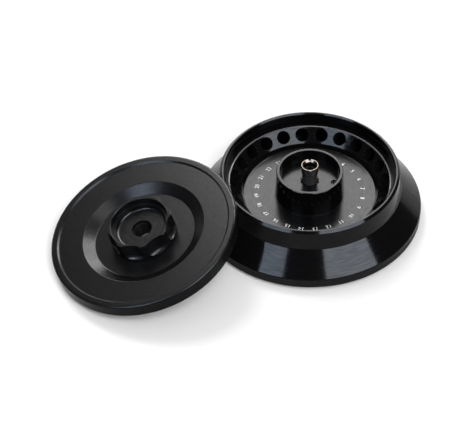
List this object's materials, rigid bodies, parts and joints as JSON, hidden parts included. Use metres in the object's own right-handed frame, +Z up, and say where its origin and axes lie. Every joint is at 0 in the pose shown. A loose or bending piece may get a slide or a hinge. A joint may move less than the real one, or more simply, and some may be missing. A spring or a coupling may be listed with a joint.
{
  "type": "fixed angle rotor",
  "caption": "Fixed angle centrifuge rotor for microtubes, with slanted bores round a bowl, a centre post, and its dished lid with lobed knob leaned beside it.",
  "frame": {"origin": "on the rotor's spin axis at the mouth of the drive bore, in the plane of the base", "axes": "+Z up along the spin axis; the lid leans on the rim at the -X side, towards -Y"},
  "size_m": [0.2983, 0.2224, 0.0574],
  "materials": {
    "black_anodised": "gloss black anodised",
    "satin_lid": "satin black anodised",
    "hub_steel": "fine turned",
    "screw_steel": "blackened",
    "nickel": "polished nickel",
    "brass": "turned",
    "seal": "matte",
    "bush": "satin"
  },
  "bodies": {
    "rotor": {"rotor_body": "black_anodised", "drive_hub": "hub_steel", "hub_screw_1": "screw_steel", "hub_screw_2": "screw_steel", "hub_screw_3": "screw_steel", "centre_post": "black_anodised", "post_ring": "nickel", "retaining_pin_right": "brass", "retaining_pin_left": "brass", "clamp_washer": "hub_steel", "lid_plate": "satin_lid", "lid_rim_seal": "seal", "lid_hub_seal": "seal", "knob_bush": "bush", "knob_wave_washer": "hub_steel"},
    "knob": {"lid_knob": "black_anodised", "knob_nut": "hub_steel", "knob_circlip": "screw_steel"},
    "clamp_screw": {"clamp_screw": "screw_steel"}
  },
  "joints": [
    {"name": "knob_turn", "type": "hinge", "parent": "rotor", "child": "knob", "pos_m": [-0.13423, -0.05588, 0.03604], "axis": [-0.2625, -0.1093, 0.9587], "continuous": true},
    {"name": "clamp_screw_turn", "type": "hinge", "parent": "rotor", "child": "clamp_screw", "pos_m": [0, 0, 0.045], "axis": [0, 0, 1], "continuous": true}
  ]
}
